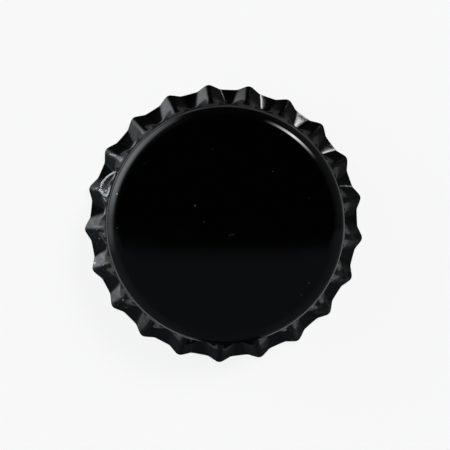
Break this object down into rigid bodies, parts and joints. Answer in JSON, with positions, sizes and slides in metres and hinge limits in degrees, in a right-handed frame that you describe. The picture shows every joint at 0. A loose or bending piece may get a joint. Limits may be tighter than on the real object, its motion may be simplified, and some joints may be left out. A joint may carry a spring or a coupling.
{
  "type": "crown bottle cap",
  "caption": "Round domed steel cap with a flared, pleated skirt of small rounded teeth and a thin moulded sealing liner inside.",
  "frame": {"origin": "on the cap's axis, in the plane that the lowest edges of its skirt rest on", "axes": "+Z along the cap's axis, up through the middle of the domed panel; one tooth of the skirt points along +X"},
  "size_m": [0.0319, 0.032, 0.006],
  "materials": {
    "lacquered_steel": "gloss black lacquer outside, clear lacquer on bare tinplate inside",
    "liner_compound": "soft satin, slightly translucent"
  },
  "bodies": {
    "root": {"crown_shell": "lacquered_steel", "sealing_liner": "liner_compound"}
  },
  "joints": []
}
